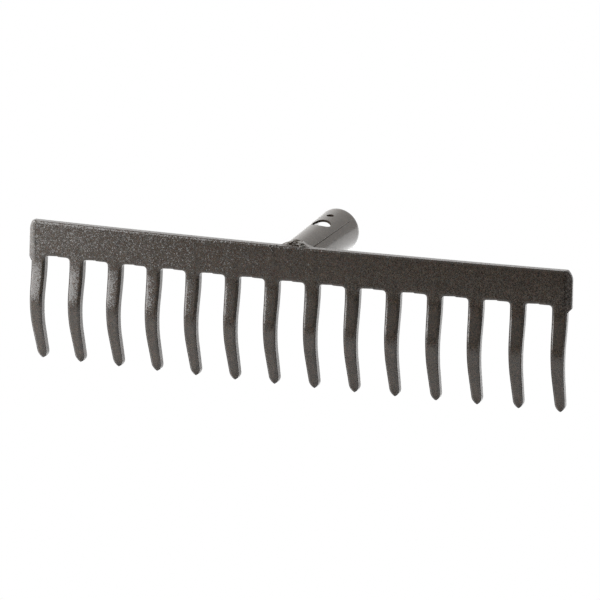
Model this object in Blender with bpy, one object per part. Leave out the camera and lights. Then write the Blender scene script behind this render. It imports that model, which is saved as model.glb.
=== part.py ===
"""Head of a level garden rake: a toothed steel bar with a welded handle socket.

World frame: X runs along the bar, +Y points back along the handle socket and +Z points up.
The origin is on the ground, below the middle of the head.

The bar is designed flat, in a plate frame of its own: x along the bar, y from the front face to
the back face and z up, with z = 0 along the tops of the gaps between the teeth. The finished
plate leans back by BAR_LEAN about the point where the socket's axis meets its front face.
"""
import math

import bmesh
import bpy
from mathutils import Matrix, Vector

MM = 0.001
GAP = 0.3 * MM  # clearance between pieces that are welded together
MERGE_DISTANCE = 0.003 * MM  # points closer than this are the same point

# Toothed bar
TOOTH_COUNT = 14
TOOTH_PITCH = 30.0 * MM
BAR_LENGTH = 406.0 * MM
BAR_HEIGHT = 25.1 * MM
PLATE_THICKNESS = 6.0 * MM
BAR_CORNER = (4.0 * MM, 7.0 * MM)  # width and height of the rounded upper corners
BAR_CORNER_POWER = 1.5  # 2 is an ellipse, less makes the corner flatter
END_DEPTH = 1.9 * MM  # how far the bar's ends reach down beside the outer teeth
END_SLOPE_DEPTH = 4.6 * MM  # where the slope from the end meets the outer tooth
TOOTH_LENGTH = 76.8 * MM
ROOT_HALF_WIDTH = 5.36 * MM
TOOTH_TAPER = 2.0 * MM  # half width lost between root and tip
TAPER_POWER = 1.5
TIP_LENGTH = 5.5 * MM
TIP_POWER = 0.75
ROOT_RADIUS = 2.5 * MM
FRONT_EDGE = (1.5 * MM, 0.75 * MM)  # wide, shallow bevel that the blanking punch rolls in
BACK_EDGE = (0.4 * MM, 0.4 * MM)

# Press-brake bends of the teeth: depth below the bar where a bend starts and ends, and its slope
FORWARD_BEND = (0.0, 15.5 * MM, -0.20)
BACKWARD_BEND = (25.0 * MM, 54.5 * MM, 0.55)
END_SET_BACK = 5.5 * MM  # the bar's ends lie this far behind its middle
END_BEVEL = (5.7 * MM, 3.4 * MM)  # length and depth of the bevel on the front of each end
END_BEVEL_POWER = 1.2  # 1 is a flat bevel, more makes it fuller
END_BEVEL_SLICES = (0.0, 0.5)  # shares of the bevel's length where the mesh is cut

# Handle socket
SOCKET_LENGTH = 92.3 * MM  # front face of the bar to the mouth
SOCKET_BASE_RADIUS = 13.2 * MM
SOCKET_FLARE = 2.7 * MM  # growth of the radius towards the mouth
FLARE_POWER = 1.35
SOCKET_WALL = 1.7 * MM
AXIS_ABOVE_GAPS = 13.6 * MM  # the socket's axis above the tops of the gaps
SOCKET_ROLL = math.radians(2.5)  # the holes on top are turned this far towards +X
SCREW_HOLE_RADIUS = 2.65 * MM
SCREW_HOLE_Y = 74.8 * MM  # from the bar's front face
WINDOW_RADIUS = 6.9 * MM
WINDOW_Y = 57.2 * MM

# Weld runs: start and end angle around the socket (0 = +X, 90 = up), half thickness away from the
# socket, half width along it, and how far the middle of the bead lies behind the back of the bar
UPPER_RUN = (math.radians(139), math.radians(41), 2.3 * MM, 3.9 * MM, 2.1 * MM)
LEFT_RUN = (math.radians(152), math.radians(222), 2.2 * MM, 2.2 * MM, 0.0)
RIGHT_RUN = (math.radians(28), math.radians(-42), 2.2 * MM, 2.2 * MM, 0.0)
RIPPLE_DEPTH = 0.3 * MM
RIPPLE_PITCH = 3.2 * MM
RUN_TAPER = (0.12, 0.88, 0.4)  # part of a half wave that thins a run's ends, and its power

# Stance
BAR_LEAN = math.radians(2.2)
AXIS_HEIGHT = 91.01 * MM  # the socket's axis above the ground
BAR_Y = -42.98 * MM  # the bar's front face, measured on the socket's axis

# Mesh fineness
SOCKET_SEGMENTS = 40
SOCKET_STATIONS = 6
HOLE_SEGMENTS = 24
ARC_STEPS = 3
CORNER_STEPS = 5
TOOTH_ROWS = 9
BEAD_SIDES = 10
BEAD_STATIONS = 16
SHARP_ANGLE = math.radians(35)

PAINT_COLOUR = (0.055, 0.048, 0.042, 1.0)


def clear_scene():
    for item in list(bpy.data.objects):
        bpy.data.objects.remove(item, do_unlink=True)


def painted_steel(name, roughness):
    """Dark bronze paint with a fine metallic grain, baked on to bare steel."""
    material = bpy.data.materials.new(name)
    material.use_nodes = True
    shader = material.node_tree.nodes["Principled BSDF"]
    shader.inputs["Base Color"].default_value = PAINT_COLOUR
    shader.inputs["Metallic"].default_value = 0.35
    shader.inputs["Roughness"].default_value = roughness
    return material


def object_from_bmesh(name, mesh_data, material=None):
    bmesh.ops.recalc_face_normals(mesh_data, faces=mesh_data.faces)
    mesh = bpy.data.meshes.new(name)
    mesh_data.to_mesh(mesh)
    mesh_data.free()
    made = bpy.data.objects.new(name, mesh)
    bpy.context.scene.collection.objects.link(made)
    if material:
        mesh.materials.append(material)
    return made


def cut(target, cutter):
    """Subtract the cutter from the target; the cutter itself is left out of the model."""
    cutter.hide_render = True
    cutter.display_type = "WIRE"
    boolean = target.modifiers.new(cutter.name, "BOOLEAN")
    boolean.operation = "DIFFERENCE"
    boolean.object = cutter


def plate_to_world():
    """Placement of the plate frame: it leans back about the socket's axis."""
    pivot = Vector((0.0, 0.0, AXIS_ABOVE_GAPS))
    lean = Matrix.Rotation(-BAR_LEAN, 4, "X")
    return Matrix.Translation((0.0, BAR_Y, AXIS_HEIGHT)) @ lean @ Matrix.Translation(-pivot)


# ---------------------------------------------------------------- toothed bar

def tooth_half_width(depth):
    """Half the width of a tooth at a depth below the bar, tip included."""
    half = ROOT_HALF_WIDTH - TOOTH_TAPER * (depth / TOOTH_LENGTH) ** TAPER_POWER
    along_tip = (depth - TOOTH_LENGTH + TIP_LENGTH) / TIP_LENGTH
    if along_tip > 0.0:
        half *= max(0.0, 1.0 - along_tip ** 2) ** TIP_POWER
    return half


def tooth_depths(start=ROOT_RADIUS):
    """Depths of the points down one side of a tooth, closer together towards the point."""
    straight = TOOTH_LENGTH - TIP_LENGTH - start
    depths = [start + straight * row / TOOTH_ROWS for row in range(TOOTH_ROWS + 1)]
    for step in range(1, ARC_STEPS + 1):
        quarter = 0.5 * math.pi * step / (ARC_STEPS + 1)
        depths.append(TOOTH_LENGTH - TIP_LENGTH + TIP_LENGTH * math.sin(quarter))
    return depths


def arc(centre_x, centre_z, radius, start, end):
    """Points along a circular arc between two angles in degrees, both ends included."""
    points = []
    for step in range(ARC_STEPS + 1):
        angle = math.radians(start + (end - start) * step / ARC_STEPS)
        points.append((centre_x + radius * math.cos(angle), centre_z + radius * math.sin(angle)))
    return points


def tooth_side(centre, side, start=ROOT_RADIUS):
    """Points down one side of a tooth: side is -1 for its left edge and 1 for its right one."""
    return [(centre + side * tooth_half_width(depth), -depth) for depth in tooth_depths(start)]


def bar_corner():
    """Upper right corner of the bar, from its end to its top edge."""
    width, height = BAR_CORNER
    points = []
    for step in range(CORNER_STEPS + 1):
        angle = 0.5 * math.pi * step / CORNER_STEPS
        across = abs(math.cos(angle)) ** (2.0 / BAR_CORNER_POWER)
        up = abs(math.sin(angle)) ** (2.0 / BAR_CORNER_POWER)
        points.append((0.5 * BAR_LENGTH - width * (1.0 - across), BAR_HEIGHT - height * (1.0 - up)))
    return points


def comb_outline():
    """Outline of the flat blank, anticlockwise from the bar's lower left corner."""
    end = 0.5 * BAR_LENGTH
    first = -0.5 * (TOOTH_COUNT - 1) * TOOTH_PITCH
    root = tooth_half_width(ROOT_RADIUS)
    outline = [(-end, -END_DEPTH)]
    outline += tooth_side(first, -1, END_SLOPE_DEPTH)
    for number in range(TOOTH_COUNT - 1):
        centre = first + number * TOOTH_PITCH
        following = centre + TOOTH_PITCH
        outline.append((centre, -TOOTH_LENGTH))
        outline += reversed(tooth_side(centre, 1))
        outline += arc(centre + root + ROOT_RADIUS, -ROOT_RADIUS, ROOT_RADIUS, 180, 90)[1:]
        outline += arc(following - root - ROOT_RADIUS, -ROOT_RADIUS, ROOT_RADIUS, 90, 0)[:-1]
        outline += tooth_side(following, -1)
    outline.append((-first, -TOOTH_LENGTH))
    outline += reversed(tooth_side(-first, 1, END_SLOPE_DEPTH))
    outline.append((end, -END_DEPTH))
    outline += bar_corner()
    outline += [(-x, z) for x, z in reversed(bar_corner())]
    return outline


def slope_and_offset(depth, bend):
    """Slope and sideways travel at a depth, from one bend that starts and ends at given depths."""
    start, end, slope = bend
    inside = min(max(depth - start, 0.0), end - start)
    offset = slope * (0.5 * inside ** 2 / (end - start) + max(0.0, depth - end))
    return slope * inside / (end - start), offset


def end_fall(x, z):
    """How far the front face falls back near the bar's ends; it fades out at the outer teeth."""
    length, depth = END_BEVEL
    inside = max(0.0, abs(x) - (0.5 * BAR_LENGTH - length)) / length
    fade = min(1.0, max(0.0, 1.0 + z / END_SLOPE_DEPTH))
    return fade * depth * inside ** END_BEVEL_POWER


def bent(point):
    """Move a point of the flat comb to its place in the bent and bowed one."""
    x, y, z = point
    forward_slope, forward = slope_and_offset(-z, FORWARD_BEND)
    backward_slope, backward = slope_and_offset(-z, BACKWARD_BEND)
    y += end_fall(x, z) * (1.0 - y / PLATE_THICKNESS)
    behind = forward + backward + y * math.hypot(1.0, forward_slope + backward_slope)
    bow = END_SET_BACK * (2.0 * x / BAR_LENGTH) ** 2
    bow_slope = 8.0 * END_SET_BACK * x / BAR_LENGTH ** 2
    turn = math.hypot(1.0, bow_slope)
    return Vector((x - behind * bow_slope / turn, bow + behind / turn, z))


def slice_mesh(mesh, point, normal):
    everything = mesh.verts[:] + mesh.edges[:] + mesh.faces[:]
    bmesh.ops.bisect_plane(mesh, geom=everything, plane_co=point, plane_no=normal,
                           dist=MERGE_DISTANCE)


def inward(outline, index):
    """Direction from an outline point into the metal; a tooth's point aims at its own base."""
    x, z = outline[index]
    point_base = TIP_LENGTH - TOOTH_LENGTH
    if z < point_base:
        first = -0.5 * (TOOTH_COUNT - 1) * TOOTH_PITCH
        centre = first + TOOTH_PITCH * round((x - first) / TOOTH_PITCH)
        return Vector((centre - x, point_base - z)).normalized()
    along = Vector(outline[(index + 1) % len(outline)]) - Vector(outline[index - 1])
    return Vector((-along.y, along.x)).normalized()


def plate_from_rims(outline, rims):
    """Flat plate built through (inset, y) copies of its outline, from the front to the back."""
    mesh = bmesh.new()
    directions = [inward(outline, index) for index in range(len(outline))]
    loops = []
    for inset, y in rims:
        moved = [Vector(point) + inset * way for point, way in zip(outline, directions)]
        loops.append([mesh.verts.new((point.x, y, point.y)) for point in moved])
    for loop, following in zip(loops, loops[1:]):
        for index in range(len(loop)):
            side = (loop[index - 1], loop[index], following[index], following[index - 1])
            mesh.faces.new(side)
    mesh.faces.new(loops[0])
    mesh.faces.new(loops[-1])
    return mesh


def make_toothed_bar(material):
    rims = (
        (FRONT_EDGE[0], 0.0),
        (0.0, FRONT_EDGE[1]),
        (0.0, PLATE_THICKNESS - BACK_EDGE[1]),
        (BACK_EDGE[0], PLATE_THICKNESS),
    )
    mesh = plate_from_rims(comb_outline(), rims)
    for depth in tooth_depths()[:TOOTH_ROWS + 1]:
        slice_mesh(mesh, (0.0, 0.0, -depth), (0.0, 0.0, 1.0))
    for number in range(1, TOOTH_COUNT):
        slice_mesh(mesh, ((number - 0.5 * TOOTH_COUNT) * TOOTH_PITCH, 0.0, 0.0), (1.0, 0.0, 0.0))
    for share in END_BEVEL_SLICES:
        x = 0.5 * BAR_LENGTH - (1.0 - share) * END_BEVEL[0]
        slice_mesh(mesh, (x, 0.0, 0.0), (1.0, 0.0, 0.0))
        slice_mesh(mesh, (-x, 0.0, 0.0), (1.0, 0.0, 0.0))
    for vertex in mesh.verts:
        vertex.co = bent(vertex.co)
    bar = object_from_bmesh("toothed_bar", mesh, material)
    bar.matrix_world = plate_to_world()
    return bar


# -------------------------------------------------------------- handle socket

def socket_radius(distance):
    """Outer radius of the socket at a distance behind the bar's front face."""
    share = min(max(distance / SOCKET_LENGTH, 0.0), 1.0)
    return SOCKET_BASE_RADIUS + SOCKET_FLARE * share ** FLARE_POWER


def turned(profile):
    """Spin a closed profile of (radius, distance) points about the socket's axis."""
    mesh = bmesh.new()
    verts = [mesh.verts.new((radius, distance, 0.0)) for radius, distance in profile]
    edges = [mesh.edges.new((verts[i - 1], verts[i])) for i in range(len(verts))]
    bmesh.ops.spin(mesh, geom=verts + edges, cent=(0.0, 0.0, 0.0), axis=(0.0, 1.0, 0.0),
                   angle=2.0 * math.pi, steps=SOCKET_SEGMENTS, use_merge=True)
    bmesh.ops.remove_doubles(mesh, verts=mesh.verts, dist=MERGE_DISTANCE)
    return mesh


def socket_distances(start):
    pitch = (SOCKET_LENGTH - start) / SOCKET_STATIONS
    return [start + pitch * station for station in range(SOCKET_STATIONS + 1)]


def trim_at_bar(mesh, clearance):
    """Cut the socket's end parallel to the back of the leaning bar."""
    normal = Vector((0.0, math.cos(BAR_LEAN), -math.sin(BAR_LEAN)))
    everything = mesh.verts[:] + mesh.edges[:] + mesh.faces[:]
    bmesh.ops.bisect_plane(mesh, geom=everything, plane_co=normal * (PLATE_THICKNESS + clearance),
                           plane_no=normal, clear_inner=True)


def make_hole_cutter(name, radius, distance):
    """Cylinder from the socket's axis up through its wall, turned by the socket's roll."""
    mesh = bmesh.new()
    height = 2.0 * SOCKET_BASE_RADIUS
    bmesh.ops.create_cone(mesh, cap_ends=True, segments=HOLE_SEGMENTS, radius1=radius,
                          radius2=radius, depth=height)
    cutter = object_from_bmesh(name, mesh)
    on_axis = Matrix.Translation((0.0, BAR_Y + distance, AXIS_HEIGHT))
    roll = Matrix.Rotation(SOCKET_ROLL, 4, "Y")
    cutter.matrix_world = on_axis @ roll @ Matrix.Translation((0.0, 0.0, 0.5 * height))
    return cutter


def make_handle_socket(material):
    distances = socket_distances(0.0)
    outside = [(socket_radius(d), d) for d in distances]
    inside = [(socket_radius(d) - SOCKET_WALL, d) for d in reversed(distances)]
    mesh = turned(outside + inside)
    trim_at_bar(mesh, GAP)
    open_edges = [edge for edge in mesh.edges if edge.is_boundary]
    bmesh.ops.bridge_loops(mesh, edges=open_edges)
    socket = object_from_bmesh("handle_socket", mesh, material)
    socket.location = (0.0, BAR_Y, AXIS_HEIGHT)
    cut(socket, make_hole_cutter("screw_hole_cutter", SCREW_HOLE_RADIUS, SCREW_HOLE_Y))
    cut(socket, make_hole_cutter("window_cutter", WINDOW_RADIUS, WINDOW_Y))
    return socket


# ------------------------------------------------------------------ weld runs

def make_socket_clearance():
    """Solid cone a little fatter than the socket, to keep the weld metal off it."""
    outside = [(socket_radius(d) + GAP, d) for d in socket_distances(0.0)]
    mesh = turned([(0.0, SOCKET_LENGTH)] + outside[::-1] + [(0.0, 0.0)])
    trim_at_bar(mesh, 0.0)
    bmesh.ops.contextual_create(mesh, geom=[edge for edge in mesh.edges if edge.is_boundary])
    cone = object_from_bmesh("socket_clearance", mesh)
    cone.location = (0.0, BAR_Y, AXIS_HEIGHT)
    return cone


def make_bar_clearance():
    """Block a little larger than the middle of the bar, to keep the weld metal off it."""
    mesh = bmesh.new()
    bmesh.ops.create_cube(mesh, size=1.0)
    size = (3.0 * TOOTH_PITCH, PLATE_THICKNESS + 2.0 * GAP, BAR_HEIGHT + 2.0 * GAP)
    bmesh.ops.scale(mesh, vec=size, verts=mesh.verts)
    middle = (0.0, 0.5 * PLATE_THICKNESS, 0.5 * BAR_HEIGHT)
    bmesh.ops.translate(mesh, vec=middle, verts=mesh.verts)
    block = object_from_bmesh("bar_clearance", mesh)
    block.matrix_world = plate_to_world()
    return block


def bead_point(angle, behind):
    """Centre of the weld bead at an angle around the socket, in the plate frame."""
    reach = SOCKET_BASE_RADIUS + 2.0 * GAP
    height = AXIS_ABOVE_GAPS + reach * math.sin(angle)
    return Vector((reach * math.cos(angle), PLATE_THICKNESS + behind, height))


def make_weld_run(name, run, material, clearances):
    """Rippled bead around part of the socket, in the corner between socket and bar."""
    start, end, thickness, width, behind = run
    wave_start, wave_end, power = RUN_TAPER
    ripples = round(abs(end - start) * SOCKET_BASE_RADIUS / RIPPLE_PITCH)
    mesh = bmesh.new()
    rings = []
    for station in range(BEAD_STATIONS + 1):
        share = station / BEAD_STATIONS
        angle = start + (end - start) * share
        ripple = math.cos(2.0 * math.pi * ripples * share)
        taper = math.sin(math.pi * (wave_start + (wave_end - wave_start) * share)) ** power
        high = thickness * taper + RIPPLE_DEPTH * ripple
        wide = width * taper + RIPPLE_DEPTH * ripple
        outward = Vector((math.cos(angle), 0.0, math.sin(angle)))
        ring = []
        for side in range(BEAD_SIDES):
            around = 2.0 * math.pi * side / BEAD_SIDES
            offset = outward * high * math.cos(around) + Vector((0.0, wide * math.sin(around), 0.0))
            ring.append(mesh.verts.new(bead_point(angle, behind) + offset))
        rings.append(ring)
    for ring, following in zip(rings, rings[1:]):
        for side in range(BEAD_SIDES):
            other = (side + 1) % BEAD_SIDES
            mesh.faces.new((ring[side], ring[other], following[other], following[side]))
    mesh.faces.new(rings[0])
    mesh.faces.new(rings[-1])
    bead = object_from_bmesh(name, mesh, material)
    bead.matrix_world = plate_to_world()
    for clearance in clearances:
        cut(bead, clearance)
    return bead


def shade(made):
    """Round surfaces shade smoothly and real edges stay crisp."""
    made.data.shade_smooth()
    made.data.set_sharp_from_angle(angle=SHARP_ANGLE)


def main():
    clear_scene()
    grained = painted_steel("grained_paint", 0.45)
    smooth = painted_steel("smooth_paint", 0.3)
    weld_paint = painted_steel("painted_weld", 0.35)
    clearances = (make_bar_clearance(), make_socket_clearance())
    pieces = [
        make_toothed_bar(grained),
        make_handle_socket(smooth),
        make_weld_run("upper_weld_run", UPPER_RUN, weld_paint, clearances),
        make_weld_run("left_weld_run", LEFT_RUN, weld_paint, clearances),
        make_weld_run("right_weld_run", RIGHT_RUN, weld_paint, clearances),
    ]
    for piece in pieces:
        shade(piece)


main()
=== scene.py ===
"""Looks of the garden rake head: fine meshes, paint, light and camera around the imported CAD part."""
import math

import bmesh
import bpy
from mathutils import Matrix, Vector, noise


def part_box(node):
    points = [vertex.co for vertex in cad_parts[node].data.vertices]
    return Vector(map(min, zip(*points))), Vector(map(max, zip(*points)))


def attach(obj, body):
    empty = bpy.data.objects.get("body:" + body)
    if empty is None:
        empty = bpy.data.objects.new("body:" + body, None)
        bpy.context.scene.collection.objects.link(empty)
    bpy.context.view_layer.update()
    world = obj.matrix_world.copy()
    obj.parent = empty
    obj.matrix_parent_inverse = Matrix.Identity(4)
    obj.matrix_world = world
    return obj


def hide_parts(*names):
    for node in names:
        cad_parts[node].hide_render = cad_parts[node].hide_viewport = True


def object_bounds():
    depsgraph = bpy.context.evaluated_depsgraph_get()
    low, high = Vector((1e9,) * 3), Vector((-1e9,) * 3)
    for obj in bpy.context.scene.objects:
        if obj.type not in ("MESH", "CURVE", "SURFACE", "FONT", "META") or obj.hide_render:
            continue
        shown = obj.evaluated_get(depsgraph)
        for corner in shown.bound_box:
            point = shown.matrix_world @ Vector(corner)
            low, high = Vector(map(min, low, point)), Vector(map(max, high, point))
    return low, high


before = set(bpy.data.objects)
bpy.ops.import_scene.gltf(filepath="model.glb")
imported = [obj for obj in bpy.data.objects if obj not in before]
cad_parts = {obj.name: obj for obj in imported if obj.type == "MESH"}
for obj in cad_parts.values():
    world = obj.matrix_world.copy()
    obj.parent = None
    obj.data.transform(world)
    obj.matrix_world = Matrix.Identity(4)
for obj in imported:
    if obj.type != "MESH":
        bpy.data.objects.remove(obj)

CAD_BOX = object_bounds()
MM = 0.001

# The CAD design's driving dimensions; everything that the frame can say is read from the frame
TOOTH_COUNT = 14
TOOTH_PITCH = 30.0 * MM
FIRST_TOOTH = -0.5 * (TOOTH_COUNT - 1) * TOOTH_PITCH
BAR_LENGTH = 406.0 * MM
BAR_END = 0.5 * BAR_LENGTH
BAR_HEIGHT = 25.1 * MM
PLATE_THICKNESS = 6.0 * MM
BAR_CORNER = (4.0 * MM, 7.0 * MM)  # width and height of its rounded upper corners
BAR_CORNER_POWER = 1.5
END_DEPTH = 1.9 * MM  # how far the bar's ends reach down beside the outer teeth
END_SLOPE_DEPTH = 4.6 * MM  # where the slope under them meets those teeth
TOOTH_LENGTH = 76.8 * MM
ROOT_HALF_WIDTH = 5.36 * MM
TOOTH_TAPER = 2.0 * MM
TAPER_POWER = 1.5
TIP_LENGTH = 5.5 * MM
TIP_POWER = 0.75
ROOT_RADIUS = 2.5 * MM
FORWARD_BEND = (0.0, 15.5 * MM, -0.20)  # depths where the bend starts and ends, and its slope
BACKWARD_BEND = (25.0 * MM, 54.5 * MM, 0.55)
END_SET_BACK = 5.5 * MM  # how far the bow of the bar sets its ends back
END_BEVEL = (5.7 * MM, 3.4 * MM)  # length along the bar and depth at its end
SOCKET_BASE_RADIUS = 13.2 * MM
SOCKET_FLARE = 2.7 * MM
FLARE_POWER = 1.35
SOCKET_WALL = 1.7 * MM
SOCKET_LENGTH = 92.3 * MM
SOCKET_FOOT_GAP = 0.1 * MM  # between the back of the bar and the foot of the socket
AXIS_ABOVE_GAPS = 13.6 * MM  # height of the socket's axis over the tops of the gaps
SOCKET_ROLL = math.radians(2.5)
SCREW_HOLE_RADIUS = 2.65 * MM
SCREW_HOLE_Y = 74.8 * MM
WINDOW_RADIUS = 6.9 * MM
WINDOW_Y = 57.2 * MM
BAR_LEAN = math.radians(2.2)

MOUTH_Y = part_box("handle_socket")[1].y
AXIS_HEIGHT = 0.5 * (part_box("handle_socket")[0].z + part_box("handle_socket")[1].z)
BAR_Y = MOUTH_Y - SOCKET_LENGTH

# Fine detail of the bar that only the looks have
FRONT_ROLL = (2.0 * MM, 1.0 * MM)  # width and depth of the edge that the blanking punch rolls in
TOOTH_ROLL = 1.2  # how much deeper that edge is on the teeth, as a share of its depth
BACK_ROLL = (0.5 * MM, 0.5 * MM)
PUNCH_STEP = 0.4 * MM  # step in the top of each gap, where two punch strokes meet
BURR_HEIGHT = 0.2 * MM  # how far the shear has raised the inner border of the bar's bevelled ends
TOOTH_CROWN = 0.2 * MM  # how far the long edges of a tooth lie behind its middle
FRONT_ROLL_STEPS = 7
BACK_ROLL_STEPS = 3
COLUMN_PITCH = 1.5 * MM
END_STEPS = 8
OUTLINE_STEPS = 8
TOOTH_ROWS = 42
CORNER_STEPS = 12
BAR_SHARP_ANGLE = math.radians(35.0)

# Fine detail of the socket that only the looks have
SEAM_ANGLE = math.radians(38.5)  # the rolled sheet of the socket is joined along this line
SEAM_HALF_WIDTH = 0.45 * MM
SEAM_DEPTH = 0.5 * MM
SEAM_SKIN = 0.4 * SOCKET_WALL  # outer layer of the wall that the seam dents
MOUTH_THINNING = 0.7 * MM
FLARED_LENGTH = 7.0 * MM
LIP_BULGE = 0.45  # how far the mouth's lip is rounded, as a share of the wall
LIP_MARGIN = 1.0 * MM  # no ring of points lies this close to the lip
LIP_STEPS = 8
SOCKET_SEGMENTS = 144
SOCKET_STATIONS = 28
HOLE_SEGMENTS = 64
SOCKET_SHARP_ANGLE = math.radians(30.0)
MERGE_DISTANCE = 0.001 * MM

# Weld metal: paths of (x, y, height over the bar's top), all in millimetres in the plate frame
WELD_BODY = ((-8.0, 7.5, -1.4), (-6.0, 7.7, -0.4), (-3.5, 7.8, 0.2), (1.5, 8.2, 0.7),
             (6.0, 7.7, 0.6), (8.0, 7.5, -0.6), (10.0, 7.5, -1.5), (12.0, 7.5, -1.9))
LEFT_FLANK = ((-8.0, 6.0, -0.9), (-6.0, 5.8, 0.2), (-4.2, 5.6, 1.2), (-2.6, 6.0, 1.9))
BUBBLE_RIM = ((-4.0, 4.6, 0.2), (-2.5, 5.0, 1.9), (-0.9, 5.0, 2.7), (1.0, 5.0, 3.0),
              (3.5, 4.8, 2.4), (5.1, 4.0, 1.5), (5.3, 2.2, 0.3), (6.4, 0.7, 0.0))
BACK_RIDGE = ((-2.6, 11.2, 2.3), (1.2, 11.2, 2.6), (3.6, 10.8, 2.4), (5.2, 10.2, 1.9),
              (7.8, 9.4, 0.7), (10.3, 9.0, -0.9))
RIGHT_TOE = ((6.6, 2.6, 0.0), (7.6, 3.4, 0.3), (9.2, 4.2, 0.0), (11.0, 4.6, -0.3), (13.0, 5.0, -0.55))
LEFT_TOE = ((-9.5, 4.2, -0.3), (-7.0, 3.8, -0.1), (-4.0, 3.4, 0.0), (-1.5, 3.2, 0.0), (3.0, 3.0, -0.2))
# Each path with the radius of its drops in millimetres and how much they flow out along Y
UPPER_TRAILS = ((WELD_BODY, 2.0, 1.6), (LEFT_FLANK, 1.1, 1.4), (BUBBLE_RIM, 0.65, 1.0),
                (BACK_RIDGE, 0.5, 1.0), (RIGHT_TOE, 0.75, 1.5), (LEFT_TOE, 0.5, 1.0))
# Drops on the front of the bar: (x, depth under the bar's top, radius) in millimetres
SPATTER = ((-16.6, 0.9, 1.0), (-11.3, 0.0, 0.9), (-15.4, 2.4, 0.8), (-13.4, 0.8, 0.6), (-8.8, 1.9, 0.6))
DROP_SPACING = 0.4  # distance between the drops of a trail, in radii
SIDE_DROPS = 9
SIDE_DROP_RADIUS = 2.0 * MM
SIDE_DROP_CHANGE = 0.12  # how much the drops differ in radius, as a share
SIDE_DROP_PHASE = 2.3  # step in radians along the wave that changes them
SIDE_WELD_GAP = 0.4 * MM  # from the socket and from the bar's back to the middle of the drops
LEFT_WELD_ANGLES = (156.0, 220.0)
RIGHT_WELD_ANGLES = (24.0, -40.0)
UPPER_SKIN = (0.2 * MM, 0.06 * MM)  # fineness of the fused skin and height of its ripples
SIDE_SKIN = (0.3 * MM, 0.15 * MM)
SMOOTHING_ROUNDS = 2
SMOOTHING_SHARE = 0.5
RIPPLE_SIZE = 1.0 * MM

# Paint: every flake has its own tint, gloss and tilt, under slow clouds of shade
CLOUD_SCALE = 150.0  # in waves per metre
CLOUD_DETAIL = 4.0
CLOUD_ROUGHNESS = 0.6
CLOUD_SHADES = ((0.3, 0.85), (0.7, 1.1))  # pairs of cloud value and brightness
HUE_SCATTER = 0.25
GLOSS_SCATTER = 0.2
FLAKE_CHANGE = (71.0 * MM, 80.0 * MM)  # from the teeth's calmer grain, low down, to the bar's
BAR_PAINT = {"dark": (0.0066, 0.0048, 0.0032, 1.0), "light": (0.0445, 0.033, 0.023, 1.0),
             "flake_size": 0.62 * MM, "flake_tilt": 0.22, "low_tilt": 0.11,
             "roughness": 0.19, "peel": 0.1 * MM}
TUBE_PAINT = {"dark": (0.036, 0.028, 0.020, 1.0), "light": (0.052, 0.040, 0.029, 1.0),
              "flake_size": 0.5 * MM, "flake_tilt": 0.03, "low_tilt": 0.03,
              "roughness": 0.22, "peel": 0.05 * MM}
WELD_PAINT = {"dark": (0.034, 0.026, 0.018, 1.0), "light": (0.056, 0.043, 0.031, 1.0),
              "flake_size": 0.5 * MM, "flake_tilt": 0.04, "low_tilt": 0.04,
              "roughness": 0.20, "peel": 0.1 * MM}

# Camera: seen from in front, a little above and to the right, through a long lens
CAMERA_AZIMUTH = math.radians(21.2)
CAMERA_ELEVATION = math.radians(16.09)
CAMERA_ROLL = math.radians(-0.422)
CAMERA_DISTANCE = 3.749
CAMERA_TARGET = Vector((-14.04, 9.5, 48.6)) * MM
CAMERA_LENS_MM = 317.7
CAMERA_SENSOR_MM = 36.0
CAMERA_CLIP = (0.1, 30.0)

# Studio: position, target, size and power of each light, and how the floor's painted light and the room
# fade
OVERHEAD = ((0.0, 1.0, 1.5), (0.0, 1.0, 0.0), (3.0, 1.3), 46.0)
LEFT_SOFTBOX = ((-1.14, -0.42, 0.42), (-0.21, 0.17, 0.05), (1.7, 1.0), 40.0)
FLOOR_HALF_SIZE = 4.0
FRONT_PAINTED_LIGHT_FADE = (-0.45, -0.12)  # along Y, from the floor's painted shade to its painted pool of light
SIDE_PAINTED_LIGHT_FADE = (-0.36, -0.46)  # the same along X
# Floor colour levels: painted shade in front of the object and a painted pool of light near it, seen in
# reflections and bounce light
FLOOR_PAINTED_SHADE = 0.01
FLOOR_PAINTED_LIGHT = 0.9
# Room brightness along one direction: where the change starts and ends, and the two levels
BACKDROP = (0.1, 0.7, 0.5, 1.0)
RIGHT_WALL = (0.3, 0.9, 0.0, 0.6)
LEFT_BOOST = (-0.1, -0.4, 1.0, 1.3)


def limited(value):
    """The value, kept between 0 and 1."""
    return min(1.0, max(0.0, value))


# ------------------------------------------------------------------ shader tools

def node(tree, kind, **settings):
    """Add a shader node; each setting is one of its properties or else the value of an input."""
    made = tree.nodes.new(kind)
    for key, value in settings.items():
        if hasattr(made, key):
            setattr(made, key, value)
        else:
            made.inputs[key.replace("_", " ")].default_value = value
    return made


def grey(level):
    """Colour without a hue."""
    return (level, level, level, 1.0)


def ramp(tree, source, stops):
    """Colour ramp with (position, colour) stops, fed by a socket."""
    made = tree.nodes.new("ShaderNodeValToRGB")
    tree.links.new(source, made.inputs["Fac"])
    elements = made.color_ramp.elements
    while len(elements) < len(stops):
        elements.new(0.5)
    for element, (position, colour) in zip(elements, stops):
        element.position = position
        element.color = colour
    return made.outputs["Color"]


def graded(tree, source, start, end, from_level, to_level, change="SMOOTHSTEP"):
    """Value that runs from one level to another while the source runs from start to end."""
    made = node(tree, "ShaderNodeMapRange", interpolation_type=change, From_Min=start,
                From_Max=end, To_Min=from_level, To_Max=to_level)
    tree.links.new(source, made.inputs["Value"])
    return made.outputs["Result"]


def coordinates(tree, kind):
    """Object or Generated coordinates, whole and split into X, Y and Z."""
    place = node(tree, "ShaderNodeTexCoord").outputs[kind]
    apart = node(tree, "ShaderNodeSeparateXYZ")
    tree.links.new(place, apart.inputs["Vector"])
    return place, apart.outputs


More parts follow.
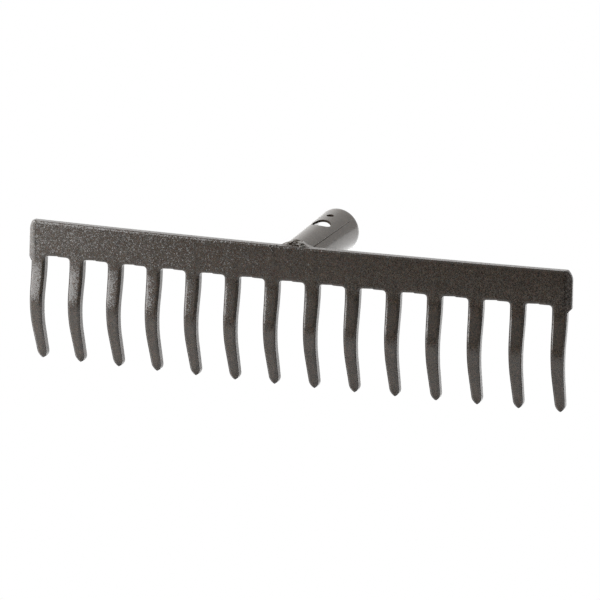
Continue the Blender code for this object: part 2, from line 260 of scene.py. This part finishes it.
def combined(tree, operation, first, second):
    """Number worked out from two sockets."""
    made = node(tree, "ShaderNodeMath", operation=operation)
    tree.links.new(first, made.inputs[0])
    tree.links.new(second, made.inputs[1])
    return made.outputs["Value"]


def multiplied(tree, first, second, strength):
    """Colour of one socket times the colour of another, as fully as the strength says."""
    made = node(tree, "ShaderNodeMix", data_type="RGBA", blend_type="MULTIPLY")
    made.inputs["Factor"].default_value = strength
    tree.links.new(first, made.inputs["A"])
    tree.links.new(second, made.inputs["B"])
    return made.outputs["Result"]


def tilted(tree, normal, chance, amount):
    """Lean a normal by a random vector whose parts run from 0 to 1."""
    centred = node(tree, "ShaderNodeVectorMath", operation="SUBTRACT")
    centred.inputs[1].default_value = (0.5, 0.5, 0.5)
    tree.links.new(chance, centred.inputs[0])
    lean = node(tree, "ShaderNodeVectorMath", operation="SCALE")
    tree.links.new(centred.outputs["Vector"], lean.inputs[0])
    tree.links.new(amount, lean.inputs["Scale"])
    total = node(tree, "ShaderNodeVectorMath", operation="ADD")
    tree.links.new(normal, total.inputs[0])
    tree.links.new(lean.outputs["Vector"], total.inputs[1])
    unit = node(tree, "ShaderNodeVectorMath", operation="NORMALIZE")
    tree.links.new(total.outputs["Vector"], unit.inputs[0])
    return unit.outputs["Vector"]


def seen_white(tree, lit_shader):
    """Whatever the surface does to light, the eye sees an evenly bright white sweep."""
    white = node(tree, "ShaderNodeEmission", Color=grey(1.0))
    ray = node(tree, "ShaderNodeLightPath")
    mix = node(tree, "ShaderNodeMixShader")
    tree.links.new(ray.outputs["Is Camera Ray"], mix.inputs["Fac"])
    tree.links.new(lit_shader, mix.inputs[1])
    tree.links.new(white.outputs["Emission"], mix.inputs[2])
    return mix.outputs["Shader"]


# --------------------------------------------------------------------- materials

def flake_paint(name, dark, light, flake_size, flake_tilt, low_tilt, roughness, peel):
    """Bronze-black metallic paint: flakes lie flatter low down, and peel is its unevenness in height."""
    material = bpy.data.materials.new(name)
    material.use_nodes = True
    tree = material.node_tree
    shader = tree.nodes["Principled BSDF"]
    place, along = coordinates(tree, "Object")

    flakes = node(tree, "ShaderNodeTexVoronoi", Scale=1.0 / flake_size)
    tree.links.new(place, flakes.inputs["Vector"])
    chance = node(tree, "ShaderNodeSeparateColor")
    tree.links.new(flakes.outputs["Color"], chance.inputs["Color"])
    clouds = node(tree, "ShaderNodeTexNoise", Scale=CLOUD_SCALE, Detail=CLOUD_DETAIL,
                  Roughness=CLOUD_ROUGHNESS)
    tree.links.new(place, clouds.inputs["Vector"])

    tint = ramp(tree, chance.outputs["Red"], [(0.0, dark), (1.0, light)])
    tint = multiplied(tree, tint, flakes.outputs["Color"], HUE_SCATTER)
    patches = ramp(tree, clouds.outputs["Fac"], [(value, grey(shade)) for value, shade in CLOUD_SHADES])
    tree.links.new(multiplied(tree, tint, patches, 1.0), shader.inputs["Base Color"])

    smoothest = grey(roughness * (1.0 - GLOSS_SCATTER))
    roughest = grey(roughness * (1.0 + GLOSS_SCATTER))
    gloss = ramp(tree, chance.outputs["Green"], [(0.0, smoothest), (1.0, roughest)])
    tree.links.new(gloss, shader.inputs["Roughness"])

    bump = node(tree, "ShaderNodeBump", Strength=1.0, Distance=peel)
    tree.links.new(clouds.outputs["Fac"], bump.inputs["Height"])
    tilt = graded(tree, along["Z"], *FLAKE_CHANGE, low_tilt, flake_tilt)
    leaning = tilted(tree, bump.outputs["Normal"], flakes.outputs["Color"], tilt)
    tree.links.new(leaning, shader.inputs["Normal"])
    return material


def painted_light_floor_material():
    """Floor that the eye sees evenly white; its colour is a painted pool of light under, behind and left
    of the object and painted shade in front of it.
    """
    material = bpy.data.materials.new("floor_painted_light_pool")
    material.use_nodes = True
    tree = material.node_tree
    tree.nodes.remove(tree.nodes["Principled BSDF"])
    along = coordinates(tree, "Object")[1]
    behind = graded(tree, along["Y"], *FRONT_PAINTED_LIGHT_FADE, 0.0, 1.0, change="LINEAR")
    left = graded(tree, along["X"], *SIDE_PAINTED_LIGHT_FADE, 0.0, 1.0, change="LINEAR")
    painted_light_share = combined(tree, "MAXIMUM", behind, left)
    colour = ramp(tree, painted_light_share, [(0.0, grey(FLOOR_PAINTED_SHADE)), (1.0, grey(FLOOR_PAINTED_LIGHT))])
    diffuse = node(tree, "ShaderNodeBsdfDiffuse")
    tree.links.new(colour, diffuse.inputs["Color"])
    tree.links.new(seen_white(tree, diffuse.outputs["BSDF"]),
                   tree.nodes["Material Output"].inputs["Surface"])
    return material


def studio_world():
    """Bright backdrop, brightest behind the object's left, dim wall at the right and dark front."""
    world = bpy.data.worlds.new("studio")
    world.use_nodes = True
    tree = world.node_tree
    along = coordinates(tree, "Generated")[1]
    backdrop = graded(tree, along["Y"], *BACKDROP)
    right_wall = graded(tree, along["X"], *RIGHT_WALL)
    left_boost = graded(tree, along["X"], *LEFT_BOOST)
    boosted = combined(tree, "MULTIPLY", backdrop, left_boost)
    background = tree.nodes["Background"]
    tree.links.new(combined(tree, "MAXIMUM", boosted, right_wall), background.inputs["Strength"])
    background.inputs["Color"].default_value = grey(1.0)
    tree.links.new(seen_white(tree, background.outputs["Background"]),
                   tree.nodes["World Output"].inputs["Surface"])
    return world


# -------------------------------------------------------------------- mesh tools

def object_from_bmesh(name, mesh_data, material):
    """Turn mesh data into an object of the scene; a cutter has no material."""
    bmesh.ops.recalc_face_normals(mesh_data, faces=mesh_data.faces)
    mesh = bpy.data.meshes.new(name)
    mesh_data.to_mesh(mesh)
    mesh_data.free()
    made = bpy.data.objects.new(name, mesh)
    bpy.context.scene.collection.objects.link(made)
    if material:
        mesh.materials.append(material)
    return made


def shade_round(made, sharp_angle):
    """Shade a surface smooth except where it turns by more than an angle."""
    made.data.shade_smooth()
    made.data.set_sharp_from_angle(angle=sharp_angle)


def weigh_normals(made):
    """Let the big flat faces set the shading beside narrow rounded edges."""
    weighted = made.modifiers.new("weighted_normals", "WEIGHTED_NORMAL")
    weighted.keep_sharp = True


def slice_mesh(mesh, point, normal):
    """Add the edges where a plane passes through a mesh."""
    everything = mesh.verts[:] + mesh.edges[:] + mesh.faces[:]
    bmesh.ops.bisect_plane(mesh, geom=everything, plane_co=point, plane_no=normal, dist=MERGE_DISTANCE)


def with_modifiers(made):
    """New mesh data with the object's modifiers worked in; the object keeps none."""
    bpy.context.view_layer.update()
    evaluated = made.evaluated_get(bpy.context.evaluated_depsgraph_get())
    result = bpy.data.meshes.new_from_object(evaluated)
    made.modifiers.clear()
    return result


def stand_for(piece, node_name):
    """Let a piece ride on the root body and stand for a node of the CAD part."""
    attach(piece, "root")
    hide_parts(node_name)


def plate_to_world():
    """Placement of the plate frame, which leans back about the socket's axis.

    In the plate frame x runs along the bar, y back from its front and z up from the tops of the gaps.
    """
    pivot = Vector((0.0, 0.0, AXIS_ABOVE_GAPS))
    lean = Matrix.Rotation(-BAR_LEAN, 4, "X")
    return Matrix.Translation((0.0, BAR_Y, AXIS_HEIGHT)) @ lean @ Matrix.Translation(-pivot)


# ------------------------------------------------------------------- toothed bar

def tooth_half_width(depth):
    """Half the width of a tooth at a depth under the tops of the gaps."""
    half = ROOT_HALF_WIDTH - TOOTH_TAPER * (depth / TOOTH_LENGTH) ** TAPER_POWER
    along_tip = (depth - TOOTH_LENGTH + TIP_LENGTH) / TIP_LENGTH
    if along_tip > 0.0:
        half *= max(0.0, 1.0 - along_tip ** 2) ** TIP_POWER
    return half


def tooth_depths(start=ROOT_RADIUS):
    """Depths of the outline's points down a tooth, closer together along its tip."""
    straight = TOOTH_LENGTH - TIP_LENGTH - start
    depths = [start + straight * row / TOOTH_ROWS for row in range(TOOTH_ROWS + 1)]
    for step in range(1, OUTLINE_STEPS + 1):
        quarter = 0.5 * math.pi * step / (OUTLINE_STEPS + 1)
        depths.append(TOOTH_LENGTH - TIP_LENGTH + TIP_LENGTH * math.sin(quarter))
    return depths


def arc(centre_x, centre_z, radius, start, end):
    """Points along an arc between two angles in degrees."""
    points = []
    for step in range(OUTLINE_STEPS + 1):
        angle = math.radians(start + (end - start) * step / OUTLINE_STEPS)
        points.append((centre_x + radius * math.cos(angle), centre_z + radius * math.sin(angle)))
    return points


def tooth_side(centre, side, start=ROOT_RADIUS):
    """Points down one side of a tooth: side is -1 for its left edge and 1 for its right one."""
    return [(centre + side * tooth_half_width(depth), -depth) for depth in tooth_depths(start)]


def bar_corner():
    """Upper right corner of the bar, from its end to its top edge."""
    width, height = BAR_CORNER
    points = []
    for step in range(CORNER_STEPS + 1):
        angle = 0.5 * math.pi * step / CORNER_STEPS
        across = abs(math.cos(angle)) ** (2.0 / BAR_CORNER_POWER)
        up = abs(math.sin(angle)) ** (2.0 / BAR_CORNER_POWER)
        points.append((BAR_END - width * (1.0 - across), BAR_HEIGHT - height * (1.0 - up)))
    return points


def gap_top(centre):
    """From one tooth up into the gap, over the punch's little step and down the next tooth."""
    root = tooth_half_width(ROOT_RADIUS)
    middle = centre + 0.5 * TOOTH_PITCH
    following = centre + TOOTH_PITCH
    points = arc(centre + root + ROOT_RADIUS, -ROOT_RADIUS, ROOT_RADIUS, 180, 90)[1:]
    points.append((middle, PUNCH_STEP))
    points.append((middle + 2.0 * PUNCH_STEP, 0.0))
    points += arc(following - root - ROOT_RADIUS, -ROOT_RADIUS, ROOT_RADIUS, 90, 0)[:-1]
    return points


def comb_outline():
    """Outline of the flat blank, anticlockwise from the bar's lower left corner."""
    outline = [(-BAR_END, -END_DEPTH)]
    outline += tooth_side(FIRST_TOOTH, -1, END_SLOPE_DEPTH)
    for number in range(TOOTH_COUNT - 1):
        centre = FIRST_TOOTH + number * TOOTH_PITCH
        outline.append((centre, -TOOTH_LENGTH))
        outline += reversed(tooth_side(centre, 1))
        outline += gap_top(centre)
        outline += tooth_side(centre + TOOTH_PITCH, -1)
    outline.append((-FIRST_TOOTH, -TOOTH_LENGTH))
    outline += reversed(tooth_side(-FIRST_TOOTH, 1, END_SLOPE_DEPTH))
    outline.append((BAR_END, -END_DEPTH))
    outline += bar_corner()
    outline += [(-x, z) for x, z in reversed(bar_corner())]
    return outline


def inward(outline, index):
    """Direction from an outline point into the metal; a tooth's point aims at its own base."""
    x, z = outline[index]
    point_base = TIP_LENGTH - TOOTH_LENGTH
    if z < point_base:
        centre = FIRST_TOOTH + TOOTH_PITCH * round((x - FIRST_TOOTH) / TOOTH_PITCH)
        return Vector((centre - x, point_base - z)).normalized()
    along = Vector(outline[(index + 1) % len(outline)]) - Vector(outline[index - 1])
    return Vector((-along.y, along.x)).normalized()


def rolled_rims():
    """(inset, y) of the outline's copies: an elliptical front edge, the side and a tight back edge."""
    rims = []
    for step in range(FRONT_ROLL_STEPS + 1):
        angle = 0.5 * math.pi * step / FRONT_ROLL_STEPS
        rims.append((FRONT_ROLL[0] * (1.0 - math.sin(angle)), FRONT_ROLL[1] * (1.0 - math.cos(angle))))
    for step in range(BACK_ROLL_STEPS + 1):
        angle = 0.5 * math.pi * step / BACK_ROLL_STEPS
        rims.append((BACK_ROLL[0] * (1.0 - math.cos(angle)),
                     PLATE_THICKNESS - BACK_ROLL[1] * (1.0 - math.sin(angle))))
    return rims


def plate_from_rims(outline, rims):
    """Flat plate built through (inset, y) copies of its outline, from the front to the back."""
    mesh = bmesh.new()
    directions = [inward(outline, index) for index in range(len(outline))]
    loops = []
    for inset, y in rims:
        moved = [Vector(point) + inset * way for point, way in zip(outline, directions)]
        loops.append([mesh.verts.new((point.x, y, point.y)) for point in moved])
    for loop, following in zip(loops, loops[1:]):
        for index in range(len(loop)):
            mesh.faces.new((loop[index - 1], loop[index], following[index], following[index - 1]))
    mesh.faces.new(loops[0])
    mesh.faces.new(loops[-1])
    return mesh


def slope_and_offset(depth, bend):
    """Slope and backward shift of a tooth at a depth, from one of its bends."""
    start, end, slope = bend
    inside = min(max(depth - start, 0.0), end - start)
    offset = slope * (0.5 * inside ** 2 / (end - start) + max(0.0, depth - end))
    return slope * inside / (end - start), offset


def end_fall(x, z):
    """How far the front face falls back near the bar's ends; their inner border is a raised burr."""
    length, depth = END_BEVEL
    inside = max(0.0, abs(x) - (BAR_END - length)) / length
    fade = limited(1.0 + z / END_SLOPE_DEPTH)
    burr = BURR_HEIGHT if inside > 0.0 else 0.0
    return fade * (depth * inside - burr * (1.0 - inside))


def crown(x, z):
    """How far the front face of a tooth falls back beside its middle; nothing on the bar."""
    across = (x - FIRST_TOOTH + 0.5 * TOOTH_PITCH) % TOOTH_PITCH - 0.5 * TOOTH_PITCH
    fade = limited(-z / (2.0 * ROOT_RADIUS))
    return fade * TOOTH_CROWN * (across / ROOT_HALF_WIDTH) ** 2


def rolled_depth(y, z):
    """Depth of a point in the flat comb, once the front edges of the teeth are rolled in deeper."""
    if y > FRONT_ROLL[1]:
        return y
    return y * (1.0 + TOOTH_ROLL * limited(-z / ROOT_RADIUS))


def bent(point):
    """Move a point of the flat comb to its place in the bent and bowed one."""
    x, y, z = point
    forward_slope, forward = slope_and_offset(-z, FORWARD_BEND)
    backward_slope, backward = slope_and_offset(-z, BACKWARD_BEND)
    y = rolled_depth(y, z)
    y += (end_fall(x, z) + crown(x, z)) * (1.0 - y / PLATE_THICKNESS)
    behind = forward + backward + y * math.hypot(1.0, forward_slope + backward_slope)
    bow = END_SET_BACK * (x / BAR_END) ** 2
    bow_slope = 2.0 * END_SET_BACK * x / BAR_END ** 2
    turn = math.hypot(1.0, bow_slope)
    return Vector((x - behind * bow_slope / turn, bow + behind / turn, z))


def slice_bar(mesh):
    """Rows down the teeth, columns along the bar, and closer columns in its bevelled ends."""
    for depth in tooth_depths()[:TOOTH_ROWS + 1]:
        slice_mesh(mesh, (0.0, 0.0, -depth), (0.0, 0.0, 1.0))
    columns = round(BAR_LENGTH / COLUMN_PITCH)
    for column in range(1, columns):
        slice_mesh(mesh, ((column - 0.5 * columns) * COLUMN_PITCH, 0.0, 0.0), (1.0, 0.0, 0.0))
    for step in range(END_STEPS + 1):
        x = BAR_END - END_BEVEL[0] * (1.0 - step / (END_STEPS + 0.5))
        slice_mesh(mesh, (x, 0.0, 0.0), (1.0, 0.0, 0.0))
        slice_mesh(mesh, (-x, 0.0, 0.0), (1.0, 0.0, 0.0))


def make_toothed_bar(material):
    """Bar and teeth in one plate, blanked, rolled in at the front edges, bent and bowed."""
    mesh = plate_from_rims(comb_outline(), rolled_rims())
    slice_bar(mesh)
    for vertex in mesh.verts:
        vertex.co = bent(vertex.co)
    bar = object_from_bmesh("toothed_bar_skin", mesh, material)
    bar.data.transform(plate_to_world())
    shade_round(bar, BAR_SHARP_ANGLE)
    weigh_normals(bar)
    return bar


# ----------------------------------------------------------------- handle socket

def socket_radius(distance):
    """Outer radius of the socket at a distance from the front of the bar."""
    return SOCKET_BASE_RADIUS + SOCKET_FLARE * limited(distance / SOCKET_LENGTH) ** FLARE_POWER


def socket_wall(distance):
    """Thickness of the wall, which the flaring tool has thinned towards the mouth."""
    return SOCKET_WALL - MOUTH_THINNING * max(0.0, 1.0 - (SOCKET_LENGTH - distance) / FLARED_LENGTH)


def socket_profile():
    """Closed profile of the socket's wall, with a rounded lip at the mouth."""
    stations = [SOCKET_LENGTH * i / SOCKET_STATIONS for i in range(SOCKET_STATIONS)]
    wall = socket_wall(SOCKET_LENGTH)
    lip_radius = LIP_BULGE * wall
    lip_y = SOCKET_LENGTH - lip_radius
    outside = [(socket_radius(d), d) for d in stations if d < lip_y - LIP_MARGIN]
    inside = [(radius - socket_wall(d), d) for radius, d in reversed(outside)]
    middle = socket_radius(lip_y) - 0.5 * wall
    lip = []
    for step in range(LIP_STEPS + 1):
        angle = math.pi * step / LIP_STEPS
        across = 0.5 * wall * math.cos(angle)
        lip.append((middle + across, lip_y + lip_radius * math.sin(angle)))
    return outside + lip + inside


def turned(profile, segments):
    """Spin a closed profile of (radius, distance) points about the socket's axis."""
    mesh = bmesh.new()
    verts = [mesh.verts.new((radius, distance, 0.0)) for radius, distance in profile]
    edges = [mesh.edges.new((verts[i - 1], verts[i])) for i in range(len(verts))]
    bmesh.ops.spin(mesh, geom=verts + edges, cent=(0.0, 0.0, 0.0), axis=(0.0, 1.0, 0.0),
                   angle=2.0 * math.pi, steps=segments, use_merge=True)
    bmesh.ops.remove_doubles(mesh, verts=mesh.verts, dist=MERGE_DISTANCE)
    return mesh


def press_seam(mesh):
    """Groove along the socket, where the edges of its rolled sheet meet; it fades at the mouth."""
    for side in (-1.0, 0.0, 1.0):
        across = SEAM_ANGLE + side * SEAM_HALF_WIDTH / SOCKET_BASE_RADIUS
        slice_mesh(mesh, (0.0, 0.0, 0.0), (-math.sin(across), 0.0, math.cos(across)))
    for vertex in mesh.verts:
        x, distance, z = vertex.co
        radius = math.hypot(x, z)
        across = abs(math.atan2(z, x) - SEAM_ANGLE) * radius / SEAM_HALF_WIDTH
        if across < 1.0 and radius > socket_radius(distance) - SEAM_SKIN:
            fade = min(1.0, (SOCKET_LENGTH - distance) / FLARED_LENGTH)
            sunk = 1.0 - SEAM_DEPTH * fade * (1.0 - across) / radius
            vertex.co = (x * sunk, distance, z * sunk)


def trim_at_bar(mesh):
    """Cut the socket's end parallel to the back of the leaning bar."""
    normal = Vector((0.0, math.cos(BAR_LEAN), -math.sin(BAR_LEAN)))
    everything = mesh.verts[:] + mesh.edges[:] + mesh.faces[:]
    bmesh.ops.bisect_plane(mesh, geom=everything, plane_co=normal * (PLATE_THICKNESS + SOCKET_FOOT_GAP),
                           plane_no=normal, clear_inner=True)
    open_edges = [edge for edge in mesh.edges if edge.is_boundary]
    bmesh.ops.bridge_loops(mesh, edges=open_edges)


def cut_hole(target, name, radius, distance):
    """Cut a round hole up through the socket's wall, and drop the cutter."""
    height = 2.0 * SOCKET_BASE_RADIUS
    mesh = bmesh.new()
    bmesh.ops.create_cone(mesh, cap_ends=True, segments=HOLE_SEGMENTS, radius1=radius,
                          radius2=radius, depth=height)
    cutter = object_from_bmesh(name, mesh, None)
    roll = Matrix.Rotation(SOCKET_ROLL, 4, "Y")
    upward = Matrix.Translation((0.0, 0.0, 0.5 * height))
    cutter.matrix_world = Matrix.Translation((0.0, distance, 0.0)) @ roll @ upward
    boolean = target.modifiers.new(name, "BOOLEAN")
    boolean.operation = "DIFFERENCE"
    boolean.object = cutter
    target.data = with_modifiers(target)
    bpy.data.objects.remove(cutter, do_unlink=True)


def make_handle_socket(material):
    """Short flared tube with a seam, a screw hole and a larger window."""
    mesh = turned(socket_profile(), SOCKET_SEGMENTS)
    press_seam(mesh)
    trim_at_bar(mesh)
    socket = object_from_bmesh("handle_socket_skin", mesh, material)
    cut_hole(socket, "screw_hole", SCREW_HOLE_RADIUS, SCREW_HOLE_Y)
    cut_hole(socket, "window", WINDOW_RADIUS, WINDOW_Y)
    socket.data.transform(Matrix.Translation((0.0, BAR_Y, AXIS_HEIGHT)))
    shade_round(socket, SOCKET_SHARP_ANGLE)
    return socket


# ------------------------------------------------------------------------- welds

def add_drop(mesh, centre, radii):
    """Add one frozen drop of weld metal: an egg with three radii."""
    matrix = Matrix.Translation(centre) @ Matrix.Diagonal((*radii, 1.0))
    bmesh.ops.create_icosphere(mesh, subdivisions=2, radius=1.0, matrix=matrix)


def add_trail(mesh, path_mm, radius_mm, flow):
    """Drops along a path of (x, y, height over the bar's top) in the plate frame; flow widens them."""
    corners = [Vector((x, y, height)) * MM + Vector((0.0, 0.0, BAR_HEIGHT)) for x, y, height in path_mm]
    radius = radius_mm * MM
    for start, end in zip(corners, corners[1:]):
        steps = max(1, round((end - start).length / (DROP_SPACING * radius)))
        for step in range(steps + 1):
            add_drop(mesh, start.lerp(end, step / steps), (radius, flow * radius, radius))


def melted(name, mesh, material, voxel_size, ripple_height):
    """Fuse overlapping drops into one skin and give it an uneven surface."""
    bead = object_from_bmesh(name, mesh, material)
    remesh = bead.modifiers.new("fuse", "REMESH")
    remesh.mode = "VOXEL"
    remesh.voxel_size = voxel_size
    fused = bmesh.new()
    fused.from_mesh(with_modifiers(bead))
    for _ in range(SMOOTHING_ROUNDS):
        bmesh.ops.smooth_vert(fused, verts=fused.verts, factor=SMOOTHING_SHARE, use_axis_x=True,
                              use_axis_y=True, use_axis_z=True)
    fused.normal_update()
    for vertex in fused.verts:
        ripple = noise.noise(vertex.co / RIPPLE_SIZE)
        vertex.co += vertex.normal * ripple * ripple_height
    fused.to_mesh(bead.data)
    fused.free()
    bead.data.transform(plate_to_world())
    bead.data.shade_smooth()
    return bead


def make_upper_weld(material):
    """Bead over the back of the bar, with a burst bubble at its left and spatter on the bar."""
    mesh = bmesh.new()
    for path, radius, flow in UPPER_TRAILS:
        add_trail(mesh, path, radius, flow)
    for x, depth, radius in SPATTER:
        add_drop(mesh, Vector((x * MM, 0.0, BAR_HEIGHT - depth * MM)), (radius * MM,) * 3)
    return melted("upper_weld_skin", mesh, material, *UPPER_SKIN)


def make_side_weld(name, angles, material):
    """Bead down one side of the socket's foot, behind the bar, with regular ripples."""
    first, last = angles
    mesh = bmesh.new()
    reach = SOCKET_BASE_RADIUS + SIDE_WELD_GAP
    for step in range(SIDE_DROPS):
        angle = math.radians(first + (last - first) * step / (SIDE_DROPS - 1))
        centre = Vector((reach * math.cos(angle), PLATE_THICKNESS + SIDE_WELD_GAP,
                         AXIS_ABOVE_GAPS + reach * math.sin(angle)))
        radius = SIDE_DROP_RADIUS * (1.0 + SIDE_DROP_CHANGE * math.sin(SIDE_DROP_PHASE * step))
        add_drop(mesh, centre, (radius, radius, radius))
    return melted(name, mesh, material, *SIDE_SKIN)


# ---------------------------------------------------------------- studio and run

def add_area_light(name, position, target, size, power):
    """Rectangular soft light that faces its target."""
    data = bpy.data.lights.new(name, "AREA")
    data.shape = "RECTANGLE"
    data.size, data.size_y = size
    data.energy = power
    made = bpy.data.objects.new(name, data)
    bpy.context.scene.collection.objects.link(made)
    made.location = position
    made.rotation_euler = (Vector(target) - Vector(position)).to_track_quat("-Z", "Y").to_euler()
    return made


def make_studio():
    """Floor under the teeth, evenly white to the eye but coloured with a painted pool of light, two soft
    lights and the room around them.
    """
    mesh = bmesh.new()
    bmesh.ops.create_grid(mesh, x_segments=1, y_segments=1, size=FLOOR_HALF_SIZE)
    floor = object_from_bmesh("floor", mesh, painted_light_floor_material())
    floor.location.z = CAD_BOX[0].z
    add_area_light("overhead", *OVERHEAD)
    add_area_light("left_softbox", *LEFT_SOFTBOX)
    bpy.context.scene.world = studio_world()
    bpy.context.scene.view_settings.view_transform = "Standard"


def make_camera():
    """Long lens in front of the rake head, a little above it and to its right."""
    back = Vector((math.sin(CAMERA_AZIMUTH) * math.cos(CAMERA_ELEVATION),
                   -math.cos(CAMERA_AZIMUTH) * math.cos(CAMERA_ELEVATION),
                   math.sin(CAMERA_ELEVATION)))
    data = bpy.data.cameras.new("camera")
    data.lens = CAMERA_LENS_MM
    data.sensor_width = CAMERA_SENSOR_MM
    data.clip_start, data.clip_end = CAMERA_CLIP
    camera = bpy.data.objects.new("camera", data)
    bpy.context.scene.collection.objects.link(camera)
    upright = back.to_track_quat("Z", "Y").to_matrix().to_4x4()
    roll = Matrix.Rotation(CAMERA_ROLL, 4, "Z")
    camera.matrix_world = Matrix.Translation(CAMERA_TARGET + back * CAMERA_DISTANCE) @ upright @ roll
    bpy.context.scene.camera = camera


def main():
    """Make the five visible pieces, the studio and the camera."""
    bar_paint = flake_paint("bar_paint", **BAR_PAINT)
    tube_paint = flake_paint("tube_paint", **TUBE_PAINT)
    weld_paint = flake_paint("weld_paint", **WELD_PAINT)
    stand_for(make_toothed_bar(bar_paint), "toothed_bar")
    stand_for(make_handle_socket(tube_paint), "handle_socket")
    stand_for(make_upper_weld(weld_paint), "upper_weld_run")
    stand_for(make_side_weld("left_weld_skin", LEFT_WELD_ANGLES, weld_paint),
              "left_weld_run")
    stand_for(make_side_weld("right_weld_skin", RIGHT_WELD_ANGLES, weld_paint),
              "right_weld_run")
    make_studio()
    make_camera()


main()
